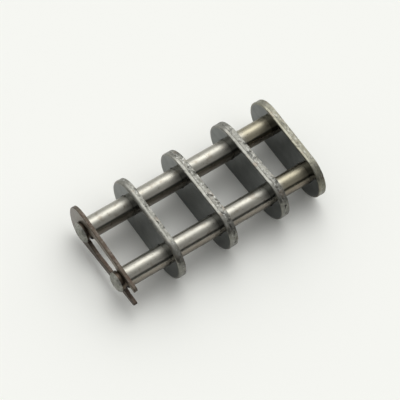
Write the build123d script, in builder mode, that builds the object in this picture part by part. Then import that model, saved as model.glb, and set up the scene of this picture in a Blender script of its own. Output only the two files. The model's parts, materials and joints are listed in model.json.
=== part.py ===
"""Connecting link of a three-strand roller chain, half inch pitch, with a spring clip.

Two pins are pressed and riveted into an outer plate. Two intermediate plates and a cover plate
slip along the pins, and a spring clip sits in a groove near each pin's free end.

Frame: X runs along the pitch, from the leading pin to the trailing pin. Y runs along the pins,
from their free ends to the riveted plate. Z is up. The origin is on the floor under the middle.
"""
from build123d import *
from math import hypot, sqrt
import os

os.makedirs("parts", exist_ok=True)

# Driving dimensions, in millimetres and degrees
pitch = 12.7  # between the two pin axes
pin_diameter = 4.45
plate_height = 10.9

outer_plate_thickness = 1.6
intermediate_plate_thickness = 1.9
cover_plate_thickness = 1.6
plate_edge_radius = 0.2  # where the blanked rim rounds over into the faces
plate_edge_limit = 0.4  # most of a plate's thickness that one rounded edge may take
hole_chamfer = 0.15

press_interference = 0.01  # radial, outer plate on the pins
slip_clearance = 0.08  # radial, loose plates on the pins

# Free stretches of pin between the plates at rest, counted from the clip
clip_to_cover_gap = 9.6
cover_to_near_gap = 10.25
near_to_far_gap = 10.35
far_to_outer_gap = 7.7

# Small angles about Z at which the loose plates stand askew on the pins
cover_plate_skew = -0.8
near_plate_skew = 0.8
far_plate_skew = 1.9

rivet_head_spread = 0.325  # radial, how far the peened head stands over the pin
rivet_rim_height = 0.25  # straight part of the peened head
rivet_dome_height = 0.35
leading_pin_end_length = 0.9  # beyond the clip groove
trailing_pin_end_length = 1.2
pin_end_chamfer = 0.4
groove_depth = 0.525  # radial

clip_thickness = 0.8
clip_side_clearance = 0.05  # each side, in the groove
clip_seat_clearance = 0.04  # radial, around the groove's floor
clip_edge_radius = 0.12
clip_nose_wall = 2.71  # steel above and below the leading seat
clip_nose_depth = 3.63  # steel between the leading seat and the closed end
clip_entry_clearance = 0.28  # radial, where the slot drops over a whole pin
clip_entry_inset = 2.05  # widest part of the slot, past the leading pin's side
clip_entry_run_out = 0.6  # where the slot starts to close in, short of the trailing groove's floor
clip_entry_taper = 0.4  # how far each leg closes in along the slot
clip_neck_overlap = 0.4  # how far each leg's shoulders reach over the groove's floor
clip_neck_inset = 0.2  # the neck's straight part ends this far inside the trailing seat
clip_flare_run_out = 0.9  # where the tips stand open again, past the trailing groove's floor
clip_flare_clearance = 0.3  # radial, between the open tips and the groove's floor
clip_tip_length = 2.9  # the upper leg beyond the trailing groove's floor
clip_lower_tip_extra = 0.5  # how much further the lower leg reaches
clip_tip_width = 0.95
clip_tip_radius = 0.6  # outer corner of each tip
clip_corner_radius = 0.5
clip_shoulder_radius = 0.15
corner_tolerance = 0.02  # a corner this near its worked-out place counts as that corner

# Derived sizes
pin_radius = pin_diameter / 2
groove_radius = pin_radius - groove_depth
rivet_head_radius = pin_radius + rivet_head_spread
rivet_head_height = rivet_rim_height + rivet_dome_height
axis_height = plate_height / 2
leading_x = -pitch / 2
trailing_x = pitch / 2
groove_width = clip_thickness + 2 * clip_side_clearance
longest_pin_end = max(leading_pin_end_length, trailing_pin_end_length)
overall_length = (
    longest_pin_end + clip_side_clearance + clip_thickness
    + clip_to_cover_gap + cover_plate_thickness
    + cover_to_near_gap + intermediate_plate_thickness
    + near_to_far_gap + intermediate_plate_thickness
    + far_to_outer_gap + outer_plate_thickness + rivet_head_height
)

# Places along Y: each value is the face nearer the pins' free ends
groove_y = -overall_length / 2 + longest_pin_end
clip_y = groove_y + clip_side_clearance
cover_plate_y = clip_y + clip_thickness + clip_to_cover_gap
near_plate_y = cover_plate_y + cover_plate_thickness + cover_to_near_gap
far_plate_y = near_plate_y + intermediate_plate_thickness + near_to_far_gap
outer_plate_y = far_plate_y + intermediate_plate_thickness + far_to_outer_gap
rivet_y = outer_plate_y + outer_plate_thickness
rivet_rim_y = rivet_y + rivet_rim_height
rivet_top_y = rivet_y + rivet_head_height


def face_plane(y, skew=0.0):
    """An upright plane at y: its x is the pitch, its y is up and it faces the pins' free ends."""
    along = Vector(1, 0, 0).rotate(Axis.Z, skew)
    return Plane(origin=(0, y, axis_height), x_dir=along, z_dir=along.cross(Vector(0, 0, 1)))


def link_plate(name, front_y, thickness, hole_radius, skew=0.0):
    """A straight-sided link plate: round ends, two pin holes and a blanked rim that rounds over."""
    middle = face_plane(front_y + thickness / 2, skew)
    through = Axis(middle.origin, middle.z_dir)
    with BuildPart() as body:
        with BuildSketch(middle):
            SlotCenterToCenter(pitch, plate_height)
        extrude(amount=thickness / 2, both=True)
        edge_radius = min(plate_edge_radius, plate_edge_limit * thickness)
        fillet(body.faces().filter_by(through).edges(), radius=edge_radius)
        with BuildSketch(middle):
            with GridLocations(pitch, 0, 2, 1):
                Circle(hole_radius)
        extrude(amount=thickness / 2, both=True, mode=Mode.SUBTRACT)
        for face in body.faces().filter_by(through):
            chamfer(face.inner_wires().edges(), length=hole_chamfer)
    body.part.label = name
    export_step(body.part, f"parts/{name}.step")


def link_pin(name, axis_x, end_length):
    """A turned pin: chamfered free end, clip groove, shank and a peened head past the plate."""
    profile_plane = Plane(origin=(axis_x, 0, axis_height), x_dir=(1, 0, 0), z_dir=(0, 0, 1))
    pin_end_y = groove_y - end_length
    dome_radius = (rivet_head_radius**2 + rivet_dome_height**2) / (2 * rivet_dome_height)
    with BuildPart() as body:
        with BuildSketch(profile_plane):
            with BuildLine():
                Polyline(
                    (0, rivet_top_y),
                    (0, pin_end_y),
                    (pin_radius - pin_end_chamfer, pin_end_y),
                    (pin_radius, pin_end_y + pin_end_chamfer),
                    (pin_radius, groove_y),
                    (groove_radius, groove_y),
                    (groove_radius, groove_y + groove_width),
                    (pin_radius, groove_y + groove_width),
                    (pin_radius, rivet_y),
                    (rivet_head_radius, rivet_y),
                    (rivet_head_radius, rivet_rim_y),
                )
                RadiusArc((rivet_head_radius, rivet_rim_y), (0, rivet_top_y), -dome_radius)
            make_face()
        revolve(axis=Axis(profile_plane.origin, profile_plane.y_dir))
    body.part.label = name
    export_step(body.part, f"parts/{name}.step")


link_plate("outer_plate", outer_plate_y, outer_plate_thickness, pin_radius - press_interference)
for name, front_y, thickness, skew in (
    ("far_intermediate_plate", far_plate_y, intermediate_plate_thickness, far_plate_skew),
    ("near_intermediate_plate", near_plate_y, intermediate_plate_thickness, near_plate_skew),
    ("cover_plate", cover_plate_y, cover_plate_thickness, cover_plate_skew),
):
    link_plate(name, front_y, thickness, pin_radius + slip_clearance, skew)

link_pin("leading_pin", leading_x, leading_pin_end_length)
link_pin("trailing_pin", trailing_x, trailing_pin_end_length)

# Spring clip: a closed nose round the leading pin's groove and two legs that snap over the
# trailing pin's groove. Its slot is wide enough in the middle to drop over a whole pin.
clip_seat_radius = groove_radius + clip_seat_clearance
clip_nose_radius = clip_seat_radius + clip_nose_wall
clip_entry_half_gap = pin_radius + clip_entry_clearance
clip_neck_half_gap = groove_radius - clip_neck_overlap
clip_neck_half_length = sqrt(clip_seat_radius**2 - clip_neck_half_gap**2) - clip_neck_inset
clip_flare_half_gap = groove_radius + clip_flare_clearance
nose_x = leading_x - clip_seat_radius - clip_nose_depth + clip_nose_radius
tip_end_x = trailing_x + groove_radius + clip_tip_length
tip_x = tip_end_x - clip_tip_radius
slot_end_x = tip_end_x + clip_lower_tip_extra + clip_corner_radius
tip_height = clip_flare_half_gap + clip_tip_width - clip_tip_radius
# Corners of the slot's upper edge: place along the clip, half gap and corner radius
upper_slot_edge = [
    (leading_x, clip_seat_radius, clip_corner_radius),
    (leading_x + pin_radius + clip_entry_inset, clip_entry_half_gap, clip_corner_radius),
    (
        trailing_x - groove_radius - clip_entry_run_out,
        clip_entry_half_gap - clip_entry_taper,
        clip_corner_radius,
    ),
    (trailing_x - clip_neck_half_length, clip_neck_half_gap, clip_shoulder_radius),
    (trailing_x + clip_neck_half_length, clip_neck_half_gap, clip_shoulder_radius),
    (trailing_x + groove_radius + clip_flare_run_out, clip_flare_half_gap, clip_corner_radius),
    (slot_end_x, clip_flare_half_gap, clip_corner_radius),
]
lower_slot_edge = [(x, -half_gap, radius) for x, half_gap, radius in reversed(upper_slot_edge)]
slot_edge = upper_slot_edge + lower_slot_edge


def is_seat_shoulder(corner):
    """True where the slot's straight edge breaks into the seat round the trailing pin."""
    reach = hypot(corner.X - trailing_x, corner.Y)
    return abs(reach - clip_seat_radius) < corner_tolerance


def is_tip_corner(corner):
    """True at the inner corner of a leg's tip."""
    return corner.X > tip_x and abs(abs(corner.Y) - clip_flare_half_gap) < corner_tolerance


with BuildPart() as spring_clip:
    with BuildSketch(face_plane(clip_y + clip_thickness)) as outline:
        with BuildLine():
            CenterArc((nose_x, 0), clip_nose_radius, 0, 360)
            CenterArc((tip_x, tip_height), clip_tip_radius, 0, 360)
            CenterArc((tip_x + clip_lower_tip_extra, -tip_height), clip_tip_radius, 0, 360)
        make_hull()
        with BuildLine():
            FilletPolyline(
                *((x, height) for x, height, _ in slot_edge),
                radius=[radius for *_, radius in slot_edge],
                close=True,
            )
        make_face(mode=Mode.SUBTRACT)
        with GridLocations(pitch, 0, 2, 1):
            Circle(clip_seat_radius, mode=Mode.SUBTRACT)
        sharp = [v for v in outline.vertices() if is_seat_shoulder(v) or is_tip_corner(v)]
        fillet(sharp, radius=clip_shoulder_radius)
    extrude(amount=clip_thickness)
    fillet(spring_clip.faces().filter_by(Axis.Y).edges(), radius=clip_edge_radius)
spring_clip.part.label = "spring_clip"
export_step(spring_clip.part, "parts/spring_clip.step")
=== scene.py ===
"""Connecting link of a three-strand roller chain: finish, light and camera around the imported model.

Plates, pins and spring clip get finer meshes of their own, in the places of their CAD nodes: blanked
rims with a sheared and a broken band, dished faces, turned ends, peened heads and a clip whose nose
is sprung a little. Units are metres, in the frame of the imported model: X along the pitch, Y along the
pins from their free ends to the riveted plate, Z up.
"""
import json
import math
import random

import bpy
import numpy as np
from mathutils import Matrix, Vector, geometry, noise


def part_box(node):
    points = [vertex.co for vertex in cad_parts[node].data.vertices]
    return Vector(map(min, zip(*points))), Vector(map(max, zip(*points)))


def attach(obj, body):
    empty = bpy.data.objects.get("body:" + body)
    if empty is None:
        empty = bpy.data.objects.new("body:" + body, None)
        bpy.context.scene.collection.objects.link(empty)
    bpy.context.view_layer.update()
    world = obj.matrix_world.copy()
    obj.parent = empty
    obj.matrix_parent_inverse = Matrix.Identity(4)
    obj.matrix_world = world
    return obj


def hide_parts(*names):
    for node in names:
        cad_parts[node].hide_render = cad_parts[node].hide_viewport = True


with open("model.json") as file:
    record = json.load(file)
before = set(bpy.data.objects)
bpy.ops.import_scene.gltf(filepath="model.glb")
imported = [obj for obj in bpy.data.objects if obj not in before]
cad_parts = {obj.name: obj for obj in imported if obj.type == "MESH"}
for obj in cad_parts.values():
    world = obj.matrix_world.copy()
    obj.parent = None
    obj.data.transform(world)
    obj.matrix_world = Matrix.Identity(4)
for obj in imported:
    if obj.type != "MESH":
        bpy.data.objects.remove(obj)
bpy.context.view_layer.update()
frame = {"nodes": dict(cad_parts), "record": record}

MM = 0.001
UP = Vector((0, 0, 1))

# ---------------------------------------------------------------- places taken from the frame
mounts = {mount["name"]: mount for mount in frame["record"]["mounts"]}
PIN_RADIUS = mounts["leading_pin_end"]["dims"]["r_mm"] * MM
AXIS_HEIGHT = mounts["leading_pin_end"]["pos_m"][2]
PIN_X = {
    "leading_pin": mounts["leading_pin_end"]["pos_m"][0],
    "trailing_pin": mounts["trailing_pin_end"]["pos_m"][0],
}
HALF_PITCH = (PIN_X["trailing_pin"] - PIN_X["leading_pin"]) / 2
BODIES = frame["record"]["behaviour"]["bodies"]
BODY_OF = {node: body for body, nodes in BODIES.items() for node in nodes}

# ---------------------------------------------------------------- camera
AIM = Vector((0.166, 0.763, 5.45)) * MM
AZIMUTH = math.radians(46.29)
ELEVATION = math.radians(60.93)
ROLL = math.radians(9.87)
DISTANCE = 576.6 * MM
LENS = 263.1
SENSOR = 36.0
SIGHT = (10 * MM, 10.0)  # nearest and furthest distance that the camera sees


def make_camera():
    """A long lens from above, beside the trailing pin's free end, turned a little about its axis."""
    data = bpy.data.cameras.new("camera")
    data.lens = LENS
    data.sensor_width = SENSOR
    data.clip_start, data.clip_end = SIGHT
    camera = bpy.data.objects.new("camera", data)
    bpy.context.scene.collection.objects.link(camera)
    bpy.context.scene.camera = camera
    back = Vector((
        math.sin(AZIMUTH) * math.cos(ELEVATION),
        -math.cos(AZIMUTH) * math.cos(ELEVATION),
        math.sin(ELEVATION),
    ))
    level = Vector((math.cos(AZIMUTH), math.sin(AZIMUTH), 0))
    above = back.cross(level)
    right = math.cos(ROLL) * level + math.sin(ROLL) * above
    up = math.cos(ROLL) * above - math.sin(ROLL) * level
    turn = Matrix((right, up, back)).transposed().to_4x4()
    camera.matrix_world = Matrix.Translation(AIM + back * DISTANCE) @ turn


# ---------------------------------------------------------------- mesh helpers
class Skin:
    """Vertices, faces and named values per vertex, gathered row by row into one mesh."""

    def __init__(self, *value_names):
        self.points = []
        self.faces = []
        self.values = {name: [] for name in value_names}

    def add(self, point, **values):
        """Adds one vertex and returns its number."""
        self.points.append(point)
        for name, numbers in self.values.items():
            numbers.append(values.get(name, 0.0))
        return len(self.points) - 1

    def strip(self, first, second):
        """Joins two closed rings with quads. A ring of one vertex is joined with triangles."""
        count = max(len(first), len(second))
        for i in range(count):
            j = (i + 1) % count
            around = ((first, i), (first, j), (second, j), (second, i))
            corners = [ring[k % len(ring)] for ring, k in around]
            self.faces.append(tuple(dict.fromkeys(corners)))

    def build(self, name, place):
        """Makes the object, with each point turned into the row frame by place()."""
        mesh = bpy.data.meshes.new(name)
        mesh.from_pydata([place(point) for point in self.points], [], self.faces)
        for value_name, numbers in self.values.items():
            mesh.attributes.new(value_name, "FLOAT", "POINT").data.foreach_set("value", numbers)
        mesh.shade_smooth()
        mesh.validate()
        piece = bpy.data.objects.new(name, mesh)
        bpy.context.scene.collection.objects.link(piece)
        return piece


def spread(start, end, count):
    """count evenly spaced numbers from start to end, both included."""
    return [start + (end - start) * i / (count - 1) for i in range(count)]


def rough(point, scale, octaves=3):
    """Smooth noise from about -1 to 1, with features about as large as scale."""
    return noise.fractal(Vector(point) / scale, 1.0, 2.0, octaves)


def arc(centre, radius, start, end, rows=4):
    """Points on an arc, with angles in degrees from the first axis towards the second."""
    angles = [math.radians(a) for a in spread(start, end, rows)]
    return [(centre[0] + radius * math.cos(a), centre[1] + radius * math.sin(a)) for a in angles]


GRID_MARGIN = 0.7  # of the spacing, between a ring and the nearest vertex inside it
INSIDE_TRIANGLES = 2  # the kind of output asked of Blender's triangulation
MERGE_DISTANCE = 1e-9


def fill(skin, depth, rings, spacing, flip):
    """Fills the first closed ring with even triangles and leaves the round ones after it open."""
    numbers = [i for ring in rings for i in ring]
    edges = []
    for ring in rings:
        start = len(edges)
        edges += [(start + i, start + (i + 1) % len(ring)) for i in range(len(ring))]
    border = np.array([(skin.points[i][0], skin.points[i][2]) for i in numbers])
    openings = []
    for ring in rings[1:]:
        edge = np.array([(skin.points[i][0], skin.points[i][2]) for i in ring])
        middle = edge.mean(axis=0)
        openings.append((middle, np.hypot(*(edge[0] - middle))))

    def is_open(point):
        return any(np.hypot(*(middle - point)) < radius for middle, radius in openings)

    (low_x, low_z), (high_x, high_z) = border.min(axis=0), border.max(axis=0)
    flat = [Vector(point) for point in border]
    for row in range(math.ceil((high_z - low_z) / spacing)):
        for column in range(math.ceil((high_x - low_x) / spacing)):
            point = (low_x + (column + row % 2 / 2) * spacing, low_z + row * spacing)
            if not is_open(point) and np.hypot(*(border - point).T).min() > spacing * GRID_MARGIN:
                flat.append(Vector(point))
    result = geometry.delaunay_2d_cdt(flat, edges, [], INSIDE_TRIANGLES, MERGE_DISTANCE)
    _, _, triangles, origins, _, _ = result  # origins[i] lists the points that corner i came from
    made = dict(enumerate(numbers))
    for triangle in triangles:
        if is_open(sum((flat[origins[i][0]] for i in triangle), Vector((0, 0))) / 3):
            continue
        corners = []
        for i in triangle:
            k = origins[i][0]
            if k not in made:
                made[k] = skin.add((flat[k].x, depth, flat[k].y))
            corners.append(made[k])
        skin.faces.append(tuple(reversed(corners)) if flip else tuple(corners))


# ---------------------------------------------------------------- blanked rims
ROLLOVER_ROWS = 8
SHEAR_ROWS = 5
BREAK_ROWS = 14
BURR_ROWS = 5
SHEAR_RAGGED = 0.06  # of the thickness, how far the sheared band's end wanders at each scale
RAGGED_FINE = 0.8 * MM
RAGGED_COARSE = 3.0 * MM
BREAK_GRAIN = 0.32 * MM
GRAIN_SQUASH = 1.6  # how much finer the grain is through the thickness than round the rim
TEAR_SIZE = 0.9 * MM
TEAR_SQUASH = 1.4
TEAR_START = 0.12  # of the noise, above which the steel tore out
TORN_GAIN = 4  # from the noise past that start to the torn value
WAVE = 2.4 * MM
WAVE_SLICE = 7  # where the wave's noise is cut, away from the others
RIM_REACH = 0.9  # of the inset, up to which a vertex counts as rim


class Blanking:
    """How a die left one kind of rim, with lengths in metres."""

    def __init__(self, rollover, shear_share, step, rough_depth, tear_depth, burr, inset, waviness):
        self.rollover_depth, self.rollover_inset = rollover
        self.shear_share = shear_share  # of the thickness, before the steel broke away
        self.step = step  # how far the broken band starts inside the sheared one
        self.rough_depth = rough_depth
        self.tear_depth = tear_depth  # where pieces of the broken band tore out
        self.burr = burr  # radius at the last edge
        self.inset = inset  # from the rim to where the flat face starts
        self.waviness = waviness

    def section(self, thickness, shear_end):
        """Rows (depth, inset, broken) across the rim, from the front face to the back face."""
        rows = [(0.0, self.inset, 0.0)]
        for i in range(ROLLOVER_ROWS + 1):
            angle = math.pi / 2 * i / ROLLOVER_ROWS
            depth = self.rollover_depth * (1 - math.cos(angle))
            rows.append((depth, self.rollover_inset * (1 - math.sin(angle)), 0.0))
        rows += [(depth, 0.0, 0.0) for depth in spread(self.rollover_depth, shear_end, SHEAR_ROWS)[1:]]
        break_end = thickness - self.burr
        first_break = shear_end + self.step
        for depth in spread(first_break, break_end, BREAK_ROWS):
            share = (depth - first_break) / (break_end - first_break)
            rows.append((depth, self.step * (1 + share), 1.0))
        for i in range(1, BURR_ROWS + 1):
            angle = math.pi / 2 * i / BURR_ROWS
            depth = break_end + self.burr * math.sin(angle)
            inset = self.step * 2 + self.burr * (1 - math.cos(angle))
            rows.append((depth, inset, 1.0 - i / BURR_ROWS))
        rows.append((thickness, self.inset, 0.0))
        return rows


def add_rim(skin, outline, blanking, thickness, seed):
    """A rim along an outline of points and outward normals. Returns its ring on each face."""
    columns = []
    for (x, z), normal in outline:
        ragged = rough((x + seed, z, 0), RAGGED_FINE) + rough((x, z, seed), RAGGED_COARSE)
        shear_end = thickness * (blanking.shear_share + SHEAR_RAGGED * ragged)
        wave = blanking.waviness * (1 + rough((x + seed, z, WAVE_SLICE), WAVE, 2)) / 2
        column = []
        for depth, inset, broken in blanking.section(thickness, shear_end):
            grain = rough((x + seed, depth * GRAIN_SQUASH, z), BREAK_GRAIN)
            torn = max(0.0, rough((x - seed, depth * TEAR_SQUASH, z), TEAR_SIZE) - TEAR_START)
            inset += wave + broken * (blanking.rough_depth * (0.5 + grain) + blanking.tear_depth * torn)
            point = (x - normal[0] * inset, depth, z - normal[1] * inset)
            on_rim = 1.0 if inset < blanking.inset * RIM_REACH else 0.0
            torn_value = min(1.0, broken * torn * TORN_GAIN)
            column.append(skin.add(point, broken=broken, rim=on_rim, torn=torn_value))
        columns.append(column)
    rings = list(zip(*columns))
    for first, second in zip(rings, rings[1:]):
        skin.strip(first, second)
    return rings[0], rings[-1]


def dish(skin, thickness, amount, seed):
    """Bends both faces gently, each on its own, so that they mirror light as real blanks do."""
    middle = thickness / 2
    for i, (x, depth, z) in enumerate(skin.points):
        side = 0 if depth < middle else 1
        weight = abs(depth - middle) / middle
        bend = rough((x + seed, z + side * FACE_SHIFT, seed), FACE_WAVE, 2)
        skin.points[i] = (x, depth + amount * bend * weight, z)


def add_dings(skin, outline, thickness, count, draw):
    """Presses small rounded dents into the rim, where loose parts knock together."""
    points = np.array(skin.points)
    for _ in range(count):
        (x, z), normal = outline[int(draw.random() * len(outline))]
        near_front = draw.uniform(0, DING_BAND)
        near_back = draw.uniform(1 - DING_BAND, 1)
        depth = thickness * draw.choice((near_front, near_back, draw.random()))
        reach = draw.uniform(*DING_RADIUS)
        push = draw.uniform(*DING_DEPTH)
        away = np.linalg.norm(points - (x, depth, z), axis=1) / reach
        fall = np.clip(1 - away**2, 0, 1)[:, None] ** 2
        points -= fall * push * np.array((normal[0], 0, normal[1]))
    skin.points = [tuple(point) for point in points]


# ---------------------------------------------------------------- link plates
RIM_STEPS = 460
FACE_GRID = 0.42 * MM
FACE_DISH = 0.012 * MM
FACE_WAVE = 3.2 * MM
FACE_SHIFT = 40 * MM  # between the noise of the two faces, so that each bends on its own
FACE_ON = 0.95  # how squarely a CAD face looks to the front to count as the front one
HOLE_STEPS = 96
HOLE_ROUNDING = 0.14 * MM
HOLE_ROWS = 4
DINGS = 60
DING_BAND = 0.25  # of the thickness, beside each face, where two dents in three fall
DING_RADIUS = (0.14 * MM, 0.46 * MM)
DING_DEPTH = (0.015 * MM, 0.06 * MM)
PLATE_BLANKING = Blanking(
    rollover=(0.22 * MM, 0.16 * MM), shear_share=0.40, step=0.010 * MM, rough_depth=0.030 * MM,
    tear_depth=0.20 * MM, burr=0.05 * MM, inset=0.48 * MM, waviness=0.01 * MM,
)
OUTER_BLANKING = Blanking(
    rollover=(0.22 * MM, 0.16 * MM), shear_share=0.40, step=0.010 * MM, rough_depth=0.026 * MM,
    tear_depth=0.08 * MM, burr=0.05 * MM, inset=0.48 * MM, waviness=0.01 * MM,
)
COVER_BLANKING = Blanking(
    rollover=(0.62 * MM, 0.36 * MM), shear_share=0.55, step=0.010 * MM, rough_depth=0.030 * MM,
    tear_depth=0.20 * MM, burr=0.05 * MM, inset=0.56 * MM, waviness=0.01 * MM,
)


def stadium(share, radius):
    """Point and outward normal at a share of the way round a straight-sided, round-ended outline."""
    straight = 2 * HALF_PITCH
    bend = math.pi * radius
    walk = share * 2 * (straight + bend)
    side = 1 if walk < straight + bend else -1
    walk -= 0 if side > 0 else straight + bend
    if walk < straight:
        return (side * (walk - HALF_PITCH), side * radius), (0.0, float(side))
    angle = math.pi / 2 - (walk - straight) / radius
    normal = (side * math.cos(angle), side * math.sin(angle))
    return (side * HALF_PITCH + radius * normal[0], radius * normal[1]), normal


def add_hole(skin, centre_x, radius, thickness):
    """One pin hole: rounded mouths and a straight wall. Returns its ring on each face."""
    rounding = [math.pi / 2 * i / HOLE_ROWS for i in range(HOLE_ROWS + 1)]
    rows = [(HOLE_ROUNDING * (1 - math.cos(a)), HOLE_ROUNDING * (1 - math.sin(a))) for a in rounding]
    rows += [(thickness - depth, grow) for depth, grow in reversed(rows)]
    rings = []
    for depth, grow in rows:
        ring = []
        for i in range(HOLE_STEPS):
            angle = 2 * math.pi * i / HOLE_STEPS
            reach = radius + grow
            point = (centre_x + reach * math.cos(angle), depth, reach * math.sin(angle))
            ring.append(skin.add(point, bore=1.0))
        rings.append(ring)
    for first, second in zip(rings, rings[1:]):
        skin.strip(first, second)
    return rings[0], rings[-1]


def plate_place(node):
    """Turns a plate's own point (along, depth from its front face, up) into the row frame."""
    mesh = frame["nodes"][node].data
    low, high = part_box(node)
    middle = (low + high) / 2
    front = Vector()
    for polygon in mesh.polygons:
        if polygon.normal.y < -FACE_ON:
            front += polygon.normal * polygon.area
    front.normalize()
    along = UP.cross(front)
    thickness = 2 * max((vertex.co - middle).dot(front) for vertex in mesh.vertices)
    corner = middle + front * thickness / 2

    def place(point):
        return corner + along * point[0] - front * point[1] + UP * point[2]

    return place, thickness, high.z - low.z


def finish(piece, node, material):
    """Gives a piece its material and lets it stand for its CAD node."""
    piece.data.materials.append(material)
    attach(piece, BODY_OF[node])
    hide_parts(node)


def make_plate(node, clearance, blanking, material, seed):
    """One blanked plate in the place of its CAD node."""
    place, thickness, height = plate_place(node)
    outline = [stadium(i / RIM_STEPS, height / 2) for i in range(RIM_STEPS)]
    skin = Skin("broken", "rim", "bore", "torn")
    front, back = add_rim(skin, outline, blanking, thickness, seed)
    holes = [add_hole(skin, x, PIN_RADIUS + clearance, thickness) for x in (-HALF_PITCH, HALF_PITCH)]
    fill(skin, 0.0, [front, *(hole[0] for hole in holes)], FACE_GRID, flip=False)
    fill(skin, thickness, [back, *(hole[1] for hole in holes)], FACE_GRID, flip=True)
    dish(skin, thickness, FACE_DISH, seed)
    add_dings(skin, outline, thickness, DINGS, random.Random(seed))
    finish(skin.build(f"{node}_blank", place), node, material)


# ---------------------------------------------------------------- spring clip
CLIP_STEP = 0.09 * MM
CLIP_CORNER_PASSES = 7
CLIP_GRID = 0.35 * MM
CLIP_DISH = 0.006 * MM
CLIP_DINGS = 26
CLIP_BLANKING = Blanking(
    rollover=(0.16 * MM, 0.08 * MM), shear_share=0.42, step=0.010 * MM, rough_depth=0.018 * MM,
    tear_depth=0.03 * MM, burr=0.05 * MM, inset=0.12 * MM, waviness=0.01 * MM,
)
SEAT_RADIUS = 1.74 * MM
FLARE_HALF_GAP = 2.0 * MM
FLARE_START = 2.6 * MM  # from the trailing axis
NECK_HALF_GAP = 1.3 * MM
NECK_HALF_LENGTH = 0.96 * MM
ENTRY_HALF_GAP = 2.5 * MM
ENTRY_START = 4.28 * MM  # from the leading axis
ENTRY_END = 2.3 * MM  # short of the trailing axis
ENTRY_TAPER = 0.4 * MM
TIP_RADIUS = 0.6 * MM
TIP_HEIGHT = 2.35 * MM  # of the tip's rounding, above the clip's middle line
LOWER_TIP_EXTRA = 0.5 * MM
SEAT_ROWS = 12  # vertices along each arc of the outline
CLOSED_SEAT_ROWS = 16
TIP_ROWS = 8
NOSE_ROWS = 90
BOW_START = 1.65 * MM  # from the leading axis towards the nose
BOW = 0.35 * MM
BOW_CURVE = 1.5  # 1 bends the nose sharply, more bends it gradually


def crossing(start, end, centre, radius):
    """Where the line from start first meets the circle, and the angle there in degrees."""
    hits = geometry.intersect_line_sphere_2d(start, end, centre, radius, False)
    hit = min(hits, key=lambda point: (point - Vector(start)).length)
    return math.degrees(math.atan2(hit.y - centre[1], hit.x - centre[0]))


def slot_half(tip_x):
    """The slot's upper edge from a tip's inner corner to the closed end of the leading seat."""
    lead = (PIN_X["leading_pin"], 0.0)
    trail = (PIN_X["trailing_pin"], 0.0)
    flare = (trail[0] + FLARE_START, FLARE_HALF_GAP)
    entry = (trail[0] - ENTRY_END, ENTRY_HALF_GAP - ENTRY_TAPER)
    neck = [(trail[0] + side * NECK_HALF_LENGTH, NECK_HALF_GAP) for side in (1, -1)]
    outer = crossing(flare, neck[0], trail, SEAT_RADIUS)
    inner = crossing(entry, neck[1], trail, SEAT_RADIUS)
    seat = arc(trail, SEAT_RADIUS, outer, inner, SEAT_ROWS)
    widest = (lead[0] + ENTRY_START, ENTRY_HALF_GAP)
    closed_seat = arc(lead, SEAT_RADIUS, 90, 180, CLOSED_SEAT_ROWS)
    return [(tip_x, FLARE_HALF_GAP), flare, *seat, entry, widest, *closed_seat]


def clip_line():
    """The clip's edge as a closed line of corners and arcs: slot, lower leg, nose and upper leg."""
    low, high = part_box("spring_clip")
    nose_radius = (high.z - low.z) / 2
    nose = (low.x + nose_radius, 0.0)
    lower_x = high.x - TIP_RADIUS
    upper_x = lower_x - LOWER_TIP_EXTRA
    end_lean = math.degrees(math.atan2(LOWER_TIP_EXTRA, 2 * TIP_HEIGHT))
    leans = []
    for tip_x, side in ((upper_x, 1), (lower_x, -1)):
        reach = Vector((tip_x - nose[0], side * TIP_HEIGHT))
        tangent = math.acos((nose_radius - TIP_RADIUS) / reach.length)
        leans.append(math.degrees(math.atan2(reach.y, reach.x) + side * tangent))
    upper_slot = slot_half(upper_x + TIP_RADIUS)
    lower_slot = [(x, -z) for x, z in reversed(slot_half(lower_x + TIP_RADIUS))]
    lower_tip = arc((lower_x, -TIP_HEIGHT), TIP_RADIUS, end_lean, leans[1], TIP_ROWS)
    nose_arc = arc(nose, nose_radius, leans[1], leans[0] - 360, NOSE_ROWS)
    upper_tip = arc((upper_x, TIP_HEIGHT), TIP_RADIUS, leans[0], end_lean, TIP_ROWS)
    return upper_slot + lower_slot[1:] + lower_tip + nose_arc + upper_tip


def clip_outline():
    """The clip's edge as even points and outward normals, with its corners a little rounded."""
    line = np.array(clip_line())
    closed = np.vstack([line, line[:1]])
    walk = np.concatenate([[0], np.cumsum(np.linalg.norm(np.diff(closed, axis=0), axis=1))])
    count = round(walk[-1] / CLIP_STEP)
    places = np.arange(count) * walk[-1] / count
    even = np.column_stack([np.interp(places, walk, closed[:, axis]) for axis in (0, 1)])
    for _ in range(CLIP_CORNER_PASSES):
        even = (np.roll(even, 1, axis=0) + 2 * even + np.roll(even, -1, axis=0)) / 4
    ahead = np.roll(even, -1, axis=0) - np.roll(even, 1, axis=0)
    ahead /= np.linalg.norm(ahead, axis=1)[:, None]
    return [((x, z), (-up, along)) for (x, z), (along, up) in zip(even.tolist(), ahead.tolist())]


def make_clip(material, seed):
    """The spring clip in the place of its CAD node, its nose sprung a little towards the plates."""
    low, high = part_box("spring_clip")
    thickness = high.y - low.y
    outline = clip_outline()
    skin = Skin("broken", "rim", "torn")
    front, back = add_rim(skin, outline, CLIP_BLANKING, thickness, seed)
    fill(skin, 0.0, [front], CLIP_GRID, flip=False)
    fill(skin, thickness, [back], CLIP_GRID, flip=True)
    dish(skin, thickness, CLIP_DISH, seed)
    add_dings(skin, outline, thickness, CLIP_DINGS, random.Random(seed))
    bow_x = PIN_X["leading_pin"] - BOW_START

    def place(point):
        share = max(0.0, (bow_x - point[0]) / (bow_x - low.x))
        return Vector((point[0], low.y + point[1] + BOW * share**BOW_CURVE, AXIS_HEIGHT + point[2]))

    finish(skin.build("spring_clip_blank", place), "spring_clip", material)


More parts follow.
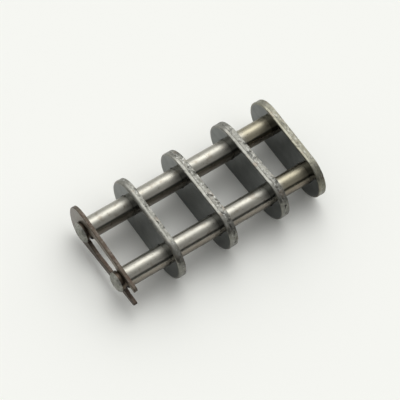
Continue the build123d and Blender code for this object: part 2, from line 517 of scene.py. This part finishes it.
# ---------------------------------------------------------------- pins
PIN_STEPS = 160
END_RINGS = (0, 0.2, 0.4, 0.6, 0.8)  # of the free end's flat radius
END_CHAMFER = 0.40 * MM
END_EDGE = 0.10 * MM
END_EDGE_RISE = 0.6  # of that edge's radius, from the chamfer's end to the middle of its rounding
GROOVE_DEPTH = 0.525 * MM
GROOVE_CLEARANCE = 0.05 * MM
GROOVE_EDGE = 0.06 * MM
SHANK_START = 0.5 * MM  # past the groove
SHANK_ROWS = 60
HEAD_SPREAD = 0.325 * MM
HEAD_RIM = 0.25 * MM
HEAD_EDGE = 0.12 * MM
HEAD_EDGE_TURN = 60  # degrees that the rounded edge turns before the dome takes over
DOME_INSET = 0.5  # of the edge's radius, where the dome starts
DOME_RISE = 0.87
DOME_OUTER = 0.96  # of the dome's radius, its outermost row
DOME_ROWS = 30
HEAD_MARK = 0.9 * MM  # across one hammer mark
HEAD_MARK_FALL = 2  # how fast a mark grows shallower away from its middle
HEAD_DENT = 0.07 * MM
HEAD_RING = 0.09 * MM  # depth of the ring that the riveting tool leaves
HEAD_RING_SHARE = 0.62
HEAD_RING_WIDTH = 0.09


def pin_profile(node):
    """The turned outline (r, y) of a pin, from the middle of its free end to that of its head."""
    low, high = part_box(node)
    clip_low, clip_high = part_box("spring_clip")
    plate_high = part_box("outer_plate")[1]
    r = PIN_RADIUS
    end_radius = r - END_CHAMFER
    profile = [(end_radius * share, low.y) for share in END_RINGS]
    profile += arc((end_radius - END_EDGE, low.y + END_EDGE), END_EDGE, -90, -45)
    profile += arc((r - END_EDGE, low.y + END_CHAMFER + END_EDGE * END_EDGE_RISE), END_EDGE, -45, 0)
    groove = r - GROOVE_DEPTH
    start = clip_low.y - GROOVE_CLEARANCE
    end = clip_high.y + GROOVE_CLEARANCE
    profile += arc((r - GROOVE_EDGE, start - GROOVE_EDGE), GROOVE_EDGE, 0, 90)
    profile += arc((groove + GROOVE_EDGE, start + GROOVE_EDGE), GROOVE_EDGE, -90, -180)
    profile += arc((groove + GROOVE_EDGE, end - GROOVE_EDGE), GROOVE_EDGE, 180, 90)
    profile += arc((r - GROOVE_EDGE, end + GROOVE_EDGE), GROOVE_EDGE, -90, 0)
    profile += [(r, y) for y in spread(end + SHANK_START, plate_high.y, SHANK_ROWS)]
    head = r + HEAD_SPREAD
    foot_edge = HEAD_EDGE / 2
    profile += arc((head - foot_edge, plate_high.y + foot_edge), foot_edge, -90, 0)
    profile += arc((head - HEAD_EDGE, plate_high.y + HEAD_RIM), HEAD_EDGE, 0, HEAD_EDGE_TURN)
    dome_radius = head - HEAD_EDGE * DOME_INSET
    dome_low = plate_high.y + HEAD_RIM + HEAD_EDGE * DOME_RISE
    for share in spread(DOME_OUTER, 0.0, DOME_ROWS):
        ring = HEAD_RING * math.exp(-(((share - HEAD_RING_SHARE) / HEAD_RING_WIDTH) ** 2))
        profile.append((dome_radius * share, dome_low + (high.y - dome_low) * (1 - share**2) - ring))
    return profile


def hammered(point):
    """How deep, from 0 to 1, overlapping round hammer marks go at a point of a pin's head."""
    nearest = noise.voronoi(Vector(point) / HEAD_MARK)[0][0]
    return max(0.0, 1 - HEAD_MARK_FALL * nearest**2)


def make_pin(node, material, seed):
    """A turned pin in the place of its CAD node, with a hammered head."""
    axis = Vector((PIN_X[node], 0, AXIS_HEIGHT))
    plate_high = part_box("outer_plate")[1].y
    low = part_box(node)[0].y
    clip_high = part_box("spring_clip")[1].y
    skin = Skin("end", "grimed")
    rings = []
    for r, y in pin_profile(node):
        ring = []
        for i in range(PIN_STEPS if r > 0 else 1):
            angle = 2 * math.pi * i / PIN_STEPS
            x, z = r * math.cos(angle), r * math.sin(angle)
            on_head = y > plate_high + HEAD_EDGE
            dent = hammered((x + seed, y, z)) * HEAD_DENT if on_head else 0.0
            ends = 1.0 if on_head or y < low + END_CHAMFER else 0.0
            # painted shade: the stub's side and the groove, from the chamfer up to past the clip, take
            # a dark colour
            grimed = 1.0 if not ends and y < clip_high + GROOVE_CLEARANCE + GROOVE_EDGE else 0.0
            ring.append(skin.add((x, y - dent, z), end=ends, grimed=grimed))
        rings.append(ring)
    for first, second in zip(rings, rings[1:]):
        skin.strip(second, first)
    finish(skin.build(f"{node}_turned", lambda point: axis + Vector(point)), node, material)


# ---------------------------------------------------------------- materials
class Nodes:
    """A short way to write a node tree."""

    def __init__(self, tree):
        self.tree = tree
        tree.nodes.clear()

    def add(self, kind, inputs=(), **settings):
        """A shader node, each of its inputs linked or set to a value."""
        node = self.tree.nodes.new("ShaderNode" + kind)
        for key, value in settings.items():
            setattr(node, key, value)
        for key, value in dict(inputs).items():
            if isinstance(value, bpy.types.NodeSocket):
                self.tree.links.new(value, node.inputs[key])
            else:
                node.inputs[key].default_value = value
        return node

    def math(self, operation, *values):
        """The result of a Math node."""
        return self.add("Math", dict(enumerate(values)), operation=operation).outputs[0]

    def place(self, scale, shift=0.0):
        """Object coordinates in millimetres, stretched by scale along each axis, then shifted."""
        return self.add("Mapping", {
            "Vector": self.add("TexCoord").outputs["Object"],
            "Scale": tuple(s / MM for s in scale),
            "Location": (shift,) * 3,
        }).outputs[0]

    def noise(self, scale, detail=3.0, roughness=0.5, shift=0.0):
        """Noise with about one feature per millimetre times scale, per axis."""
        return self.add("TexNoise", {
            "Vector": self.place(scale, shift), "Scale": 1.0, "Detail": detail, "Roughness": roughness,
        }).outputs["Fac"]

    def patches(self, scale, low, high, most=1.0, **settings):
        """Noise as soft patches: nothing where it is under low, and most where it is over high."""
        return self.remap(self.noise(scale, **settings), low, high, 0.0, most)

    def dot(self, first, second):
        """The dot product of two vectors."""
        return self.add("VectorMath", {0: first, 1: second}, operation="DOT_PRODUCT").outputs["Value"]

    def remap(self, value, low, high, to_low=0.0, to_high=1.0):
        """A value whose stretch from low to high becomes to_low to to_high, and flat outside it."""
        return self.add("MapRange", {
            "Value": value, "From Min": low, "From Max": high, "To Min": to_low, "To Max": to_high,
        }).outputs[0]

    def mix(self, share, first, second):
        """A colour between the first, at share 0, and the second, at share 1."""
        node = self.add("Mix", data_type="RGBA")
        for socket, value in (("Factor_Float", share), ("A_Color", first), ("B_Color", second)):
            target = next(s for s in node.inputs if s.identifier == socket)
            if isinstance(value, bpy.types.NodeSocket):
                self.tree.links.new(value, target)
            elif isinstance(value, tuple):
                target.default_value = (*value, 1)
            else:
                target.default_value = value
        return next(s for s in node.outputs if s.identifier == "Result_Color")

    def value_of(self, name):
        """A value that the mesh carries per vertex."""
        return self.add("Attribute", attribute_name=name).outputs["Fac"]


GRINDING = 0.85  # how strongly the pins' grinding marks draw out what they mirror
GRINDING_TURN = 0.25  # of a full turn, so that the streak runs along the pin


def metal(name, paint, ground=False):
    """A metal whose colour, roughness and height come from paint(nodes), ground round Y or not."""
    material = bpy.data.materials.new(name)
    material.use_nodes = True
    nodes = Nodes(material.node_tree)
    colour, roughness, height, depth = paint(nodes)
    bump = nodes.add("Bump", {"Height": height, "Distance": depth, "Strength": 1.0})
    shader = nodes.add("BsdfPrincipled", {
        "Base Color": colour, "Metallic": 1.0, "Roughness": roughness, "Normal": bump.outputs[0],
    })
    if ground:
        tangent = nodes.add("Tangent", direction_type="RADIAL", axis="Y").outputs[0]
        nodes.tree.links.new(tangent, shader.inputs["Tangent"])
        shader.inputs["Anisotropic"].default_value = GRINDING
        shader.inputs["Anisotropic Rotation"].default_value = GRINDING_TURN
    out = nodes.add("OutputMaterial")
    nodes.tree.links.new(shader.outputs[0], out.inputs["Surface"])
    return material


FACE_STEEL = ((0.079, 0.086, 0.082), (0.124, 0.133, 0.127))
GREY_RIM = ((0.147, 0.146, 0.128), (0.231, 0.229, 0.204))
CREAM_RIM = ((0.157, 0.152, 0.116), (0.237, 0.232, 0.189))
BRIGHT_FLECK = (0.50, 0.50, 0.475)
DARK_FLECK = (0.045, 0.045, 0.041)
SCRATCH = (0.21, 0.21, 0.20)
RUST = (0.175, 0.132, 0.098)
PLATE_BUMP = 0.007 * MM


def plate_paint(rim_low, rim_high, wear):
    """The look of one kind of plate: its rim's two colours, and how much wear flecks it, 0 to 1."""

    def paint(nodes):
        """Oil-darkened steel: tumbled faces, brighter rims, flecks and pits where the steel broke."""
        rim = nodes.value_of("rim")
        broken = nodes.value_of("broken")
        cloud = nodes.patches((0.45, 0.45, 0.45), 0.3, 0.7, detail=4)
        grain = nodes.noise((5, 5, 5), detail=4, roughness=0.6)
        tint = nodes.patches((0.9, 1.2, 0.9), 0.3, 0.7, roughness=0.6, shift=3.0)
        rubbed = nodes.mix(tint, rim_low, rim_high)
        worn = nodes.remap(nodes.noise((0.22, 0.5, 0.22), detail=2, shift=41.0), 0.40, 0.60, 0.25, 1.0)
        worn = nodes.math("MULTIPLY", worn, nodes.math("MULTIPLY_ADD", broken, 0.8 * wear, 0.2 * wear))
        bright = nodes.patches((1.4, 2.0, 1.4), 0.52, 0.70, most=0.9, roughness=0.6, shift=11.0)
        rubbed = nodes.mix(nodes.math("MULTIPLY", bright, worn), rubbed, BRIGHT_FLECK)
        dark = nodes.patches((1.4, 2.4, 1.4), 0.52, 0.64, most=0.8, roughness=0.6, shift=23.0)
        torn = nodes.math("MULTIPLY", nodes.value_of("torn"), 0.5)
        pits = nodes.math("MULTIPLY", nodes.math("MAXIMUM", dark, torn), worn)
        rubbed = nodes.mix(pits, rubbed, DARK_FLECK)
        colour = nodes.mix(rim, nodes.mix(cloud, *FACE_STEEL), rubbed)
        scratch = nodes.patches((0.25, 0.6, 7.0), 0.60, 0.74, most=0.30, detail=2, shift=53.0)
        colour = nodes.mix(scratch, colour, SCRATCH)
        rust = nodes.patches((0.5, 0.7, 0.5), 0.56, 0.70, most=0.45, roughness=0.55, shift=31.0)
        colour = nodes.mix(nodes.math("MULTIPLY", rust, rim), colour, RUST)
        roughness = nodes.remap(grain, 0.3, 0.7, 0.07, 0.13)
        roughness = nodes.math("MULTIPLY_ADD", rim, 0.22, roughness)
        roughness = nodes.math("MULTIPLY_ADD", broken, 0.10, roughness)
        height = nodes.math("MULTIPLY_ADD", pits, -1.5, grain)
        return colour, roughness, height, PLATE_BUMP

    return paint


PIN_STEEL = ((0.350, 0.339, 0.293), (0.311, 0.305, 0.270))
PIN_GOLD = (0.262, 0.242, 0.180)
GOLD_REACH = 2.0  # millimetres past the far plate, over which the gold sets in
# painted shade: the brown that the pins' lower side is mixed towards
PIN_UNDER_SHADE = (0.205, 0.175, 0.145)
UNDER_SHADE_BAND = (1.45, 1.0)  # millimetres above the axis, where the painted shade in brown starts and where it is full
PIN_STAIN = (0.15, 0.12, 0.085)
PIN_SPECK = (0.11, 0.095, 0.075)
PIN_ENDS = ((0.235, 0.240, 0.205), (0.38, 0.375, 0.345))
# painted shade: the dark colour of the stub's side and the groove, in place of their glint
PIN_STUB_SHADE = (0.085, 0.068, 0.052)
PIN_BUMP = 0.0012 * MM


def paint_pin(nodes):
    """Ground steel: an oil tint that turns golden by the outer plate, painted shade in brown below,
    rings and specks, and painted shade on the stub's side and groove.
    """
    cloud = nodes.noise((0.5, 0.25, 0.5))
    rings = nodes.noise((0.4, 14, 0.4), detail=2, roughness=0.6)
    end = nodes.value_of("end")
    coords = nodes.add("SeparateXYZ", {0: nodes.place((1, 1, 1))})
    gold_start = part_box("far_intermediate_plate")[1].y / MM
    gold = nodes.remap(coords.outputs["Y"], gold_start, gold_start + GOLD_REACH)
    under_start, under_end = (AXIS_HEIGHT / MM + height for height in UNDER_SHADE_BAND)
    under_shade = nodes.remap(coords.outputs["Z"], under_start, under_end, 0.0, 0.7)
    colour = nodes.mix(cloud, *PIN_STEEL)
    colour = nodes.mix(gold, colour, PIN_GOLD)
    # painted shade: the lower side turns brown, standing in for the dark that it mirrors
    colour = nodes.mix(under_shade, colour, PIN_UNDER_SHADE)
    stains = nodes.patches((0.8, 0.6, 0.8), 0.54, 0.68, most=0.45, roughness=0.6, shift=29.0)
    colour = nodes.mix(stains, colour, PIN_STAIN)
    specks = nodes.patches((2.6, 1.6, 2.6), 0.60, 0.70, most=0.6, roughness=0.7, shift=5.0)
    colour = nodes.mix(specks, colour, PIN_SPECK)
    mottle = nodes.patches((1.5, 1.5, 1.5), 0.38, 0.62, detail=4, roughness=0.6, shift=17.0)
    colour = nodes.mix(end, colour, nodes.mix(mottle, *PIN_ENDS))
    # painted shade on the stub's side and in the groove
    colour = nodes.mix(nodes.value_of("grimed"), colour, PIN_STUB_SHADE)
    roughness = nodes.remap(cloud, 0.3, 0.7, 0.26, 0.34)
    roughness = nodes.math("MULTIPLY_ADD", specks, 0.15, roughness)
    roughness = nodes.math("MULTIPLY_ADD", end, 0.27, roughness)
    return colour, roughness, rings, PIN_BUMP


CLIP_EDGE = ((0.074, 0.053, 0.042), (0.098, 0.084, 0.066))
CLIP_BLOTCH = (0.155, 0.138, 0.118)
CLIP_NOSE = ((0.17, 0.145, 0.13), (0.205, 0.195, 0.175))
CLIP_LEGS = ((0.145, 0.115, 0.085), (0.165, 0.145, 0.110))
# painted shade: the colour that the lower leg darkens towards
CLIP_LOW_SHADE = (0.045, 0.030, 0.024)
LEG_BAND = (-3.0, 1.0)  # millimetres from the leading axis, where the nose's tint turns into the legs'
LOW_SHADE_BAND = (-0.8, -2.0)  # millimetres from the axis, down which the lower leg darkens as painted shade
CLIP_BUMP = 0.004 * MM


def paint_clip(nodes):
    """Spring steel tempered to a dark brown, blackest and roughest on its sheared edges, with painted
    shade darkening the lower leg.
    """
    rim = nodes.value_of("rim")
    cloud = nodes.patches((0.5, 0.5, 0.5), 0.35, 0.65, detail=4)
    grain = nodes.noise((6, 6, 6), roughness=0.6)
    blotch = nodes.patches((1.3, 1.3, 1.3), 0.52, 0.68, roughness=0.6, shift=9.0)
    edge = nodes.mix(cloud, *CLIP_EDGE)
    edge = nodes.mix(blotch, edge, CLIP_BLOTCH)
    coords = nodes.add("SeparateXYZ", {0: nodes.place((1, 1, 1))})
    leg_start, leg_end = (PIN_X["leading_pin"] / MM + reach for reach in LEG_BAND)
    leg = nodes.remap(coords.outputs["X"], leg_start, leg_end)
    low_start, low_end = (AXIS_HEIGHT / MM + height for height in LOW_SHADE_BAND)
    # painted shade mask: grows down the lower leg
    low = nodes.remap(coords.outputs["Z"], low_start, low_end, 0.0, 0.45)
    face = nodes.mix(leg, nodes.mix(cloud, *CLIP_NOSE), nodes.mix(cloud, *CLIP_LEGS))
    colour = nodes.mix(rim, face, edge)
    # painted shade: the lower leg darkens downwards
    colour = nodes.mix(nodes.math("MULTIPLY", leg, low), colour, CLIP_LOW_SHADE)
    roughness = nodes.remap(rim, 0.0, 1.0, 0.36, 0.50)
    roughness = nodes.math("ADD", roughness, nodes.remap(grain, 0.3, 0.7, -0.05, 0.05))
    return colour, roughness, grain, CLIP_BUMP


# ---------------------------------------------------------------- floor and light
FLOOR_HALF = 2.0
FLOOR_COLOUR = (0.905, 0.912, 0.872)
FLOOR_ROUGHNESS = 0.9
FLOOR_SPECULAR = 0.1
SKY_STRENGTH = 0.65
SKY_LOW = 0.035
SKY_LEVEL = 0.93
SKY_LEAN = Vector((0.56, 0.25, -0.86))  # brighter towards +X and +Y, darker overhead
SKY_AXIS = Vector((-0.35, 0.10, 0.93))  # the sky ends lower on the side of the bright patch
SKY_EDGE = (0.10, 0.21)  # how far along that axis a direction goes where the sky begins
KEY_DIRECTION = Vector((-0.505, 0.385, 0.772)).normalized()
SIDE_DIRECTION = Vector((-0.85, -0.40, 0.36)).normalized()
BRIGHT_PATCHES = (  # direction, strength and sharpness
    (KEY_DIRECTION, 2.55, 14.0),
    (KEY_DIRECTION, 1.41, 2.7),  # a halo round the first
    (SIDE_DIRECTION, 0.62, 2.5),  # reaches the floor under the pins
)


def make_floor():
    """A plain pale floor at Z = 0."""
    half = FLOOR_HALF
    corners = [(-half, -half, 0), (half, -half, 0), (half, half, 0), (-half, half, 0)]
    mesh = bpy.data.meshes.new("floor")
    mesh.from_pydata(corners, [], [(0, 1, 2, 3)])
    floor = bpy.data.objects.new("floor", mesh)
    bpy.context.scene.collection.objects.link(floor)
    material = bpy.data.materials.new("matt_white")
    material.use_nodes = True
    shader = material.node_tree.nodes["Principled BSDF"]
    shader.inputs["Base Color"].default_value = (*FLOOR_COLOUR, 1)
    shader.inputs["Roughness"].default_value = FLOOR_ROUGHNESS
    shader.inputs["Specular IOR Level"].default_value = FLOOR_SPECULAR
    mesh.materials.append(material)


def make_light():
    """A soft sky: a broad bright patch behind and above the part, and a weaker, lower one beside it."""
    world = bpy.data.worlds.new("studio")
    bpy.context.scene.world = world
    world.use_nodes = True
    nodes = Nodes(world.node_tree)
    direction = nodes.add("TexCoord").outputs["Generated"]
    strength = nodes.remap(nodes.dot(direction, SKY_AXIS), *SKY_EDGE, SKY_LOW, SKY_STRENGTH)
    lean = nodes.math("ADD", nodes.dot(direction, SKY_LEAN), SKY_LEVEL)
    strength = nodes.math("MULTIPLY", strength, lean)
    for middle, brightness, sharpness in BRIGHT_PATCHES:
        facing = nodes.math("MAXIMUM", nodes.dot(direction, middle), 0.0)
        patch = nodes.math("POWER", facing, sharpness)
        strength = nodes.math("MULTIPLY_ADD", patch, brightness, strength)
    background = nodes.add("Background", {"Color": (1, 1, 1, 1), "Strength": strength})
    out = nodes.add("OutputWorld")
    nodes.tree.links.new(background.outputs[0], out.inputs["Surface"])


# ---------------------------------------------------------------- the scene
PRESS_INTERFERENCE = 0.01 * MM  # radial, outer plate on the pins
SLIP_CLEARANCE = 0.08 * MM  # radial, loose plates on the pins

loose_steel = metal("loose_plate_steel", plate_paint(*GREY_RIM, wear=1.0))
outer_steel = metal("outer_plate_steel", plate_paint(*CREAM_RIM, wear=0.7))
pin_steel = metal("pin_steel", paint_pin, ground=True)
clip_steel = metal("clip_steel", paint_clip)

make_plate("outer_plate", -PRESS_INTERFERENCE, OUTER_BLANKING, outer_steel, 1)
make_plate("far_intermediate_plate", SLIP_CLEARANCE, PLATE_BLANKING, loose_steel, 2)
make_plate("near_intermediate_plate", SLIP_CLEARANCE, PLATE_BLANKING, loose_steel, 3)
make_plate("cover_plate", SLIP_CLEARANCE, COVER_BLANKING, loose_steel, 4)
make_pin("leading_pin", pin_steel, 11)
make_pin("trailing_pin", pin_steel, 12)
make_clip(clip_steel, 21)

make_floor()
make_light()
make_camera()
bpy.context.scene.view_settings.view_transform = "Standard"
